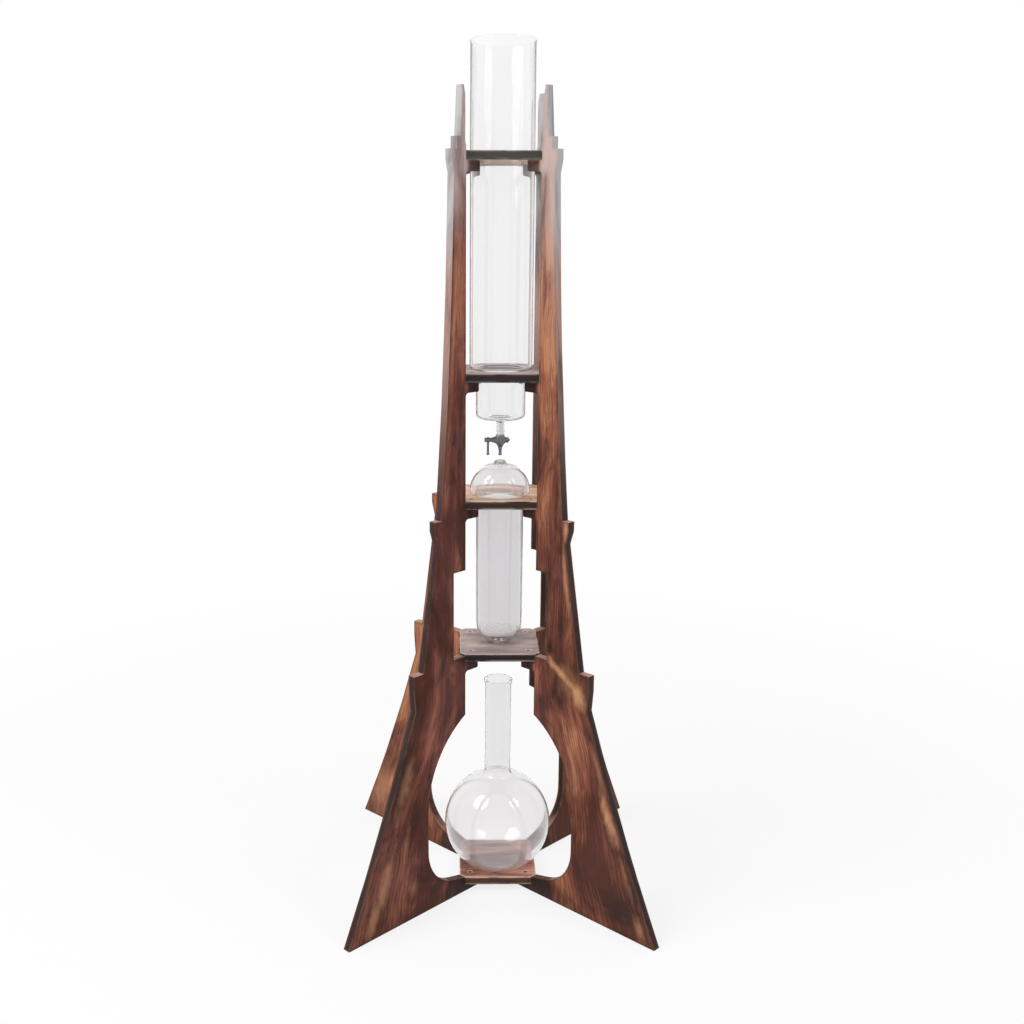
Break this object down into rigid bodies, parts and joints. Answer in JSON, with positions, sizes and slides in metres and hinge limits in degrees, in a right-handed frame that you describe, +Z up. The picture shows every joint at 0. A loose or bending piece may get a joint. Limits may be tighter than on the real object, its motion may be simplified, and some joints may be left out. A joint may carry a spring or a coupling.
{
  "type": "cold drip coffee tower",
  "caption": "Tall stepped wooden tower on splayed board legs, with shelves that hold an open glass water vessel, drip valve, domed brew chamber and round flask.",
  "frame": {"origin": "on the floor under the tower's axis, midway between the four feet", "axes": "+Z up, -Y to the front, where the flask slides out; the legs stand on the diagonals between X and Y"},
  "size_m": [0.4, 0.4, 1.11],
  "materials": {
    "leg_wood": "scorched and oiled softwood board",
    "shelf_wood": "scorched softwood, worn paler on top",
    "screw_steel": "dark countersunk steel",
    "clear_glass": "clear laboratory glass",
    "silicone": "translucent white silicone",
    "valve_metal": "dark satin turned metal",
    "filter_ceramic": "unglazed white ceramic"
  },
  "bodies": {
    "frame": {"leg_front_left": "leg_wood", "leg_front_right": "leg_wood", "leg_back_left": "leg_wood", "leg_back_right": "leg_wood", "top_shelf": "shelf_wood", "vessel_shelf": "shelf_wood", "chamber_shelf": "shelf_wood", "drip_shelf": "shelf_wood", "flask_shelf": "shelf_wood", "top_shelf_screws": "screw_steel", "vessel_shelf_screws": "screw_steel", "chamber_shelf_screws": "screw_steel", "drip_shelf_screws": "screw_steel", "flask_shelf_screws": "screw_steel"},
    "water_column": {"water_vessel": "clear_glass", "stem_bung": "silicone", "valve_body": "valve_metal"},
    "drip_plug": {"valve_plug": "valve_metal", "valve_lever": "valve_metal", "valve_washer": "valve_metal", "valve_nut": "valve_metal"},
    "dome": {"dome_cover": "clear_glass"},
    "chamber": {"brew_chamber": "clear_glass"},
    "filter": {"filter_disc": "filter_ceramic"},
    "flask": {"coffee_flask": "clear_glass"}
  },
  "joints": [
    {"name": "vessel_lift", "type": "slide", "parent": "frame", "child": "water_column", "axis": [0, 0, 1], "range_m": [0, 0.42]},
    {"name": "plug_turn", "type": "hinge", "parent": "water_column", "child": "drip_plug", "pos_m": [0, 0, 0.619], "axis": [1, 0, 0], "continuous": true},
    {"name": "dome_lift", "type": "slide", "parent": "frame", "child": "dome", "axis": [0, 0, 1], "range_m": [0, 0.1]},
    {"name": "chamber_lift", "type": "slide", "parent": "frame", "child": "chamber", "axis": [0, 0, 1], "range_m": [0, 0.1]},
    {"name": "filter_lift", "type": "slide", "parent": "chamber", "child": "filter", "axis": [0, 0, 1], "range_m": [0, 0.18]},
    {"name": "flask_slide", "type": "slide", "parent": "frame", "child": "flask", "axis": [0, -1, 0], "range_m": [0, 0.3]}
  ],
  "couplings": [
    {"joint": "dome_lift", "follows": "vessel_lift", "ratio": 0.23809},
    {"joint": "chamber_lift", "follows": "vessel_lift", "ratio": 0.23809}
  ]
}
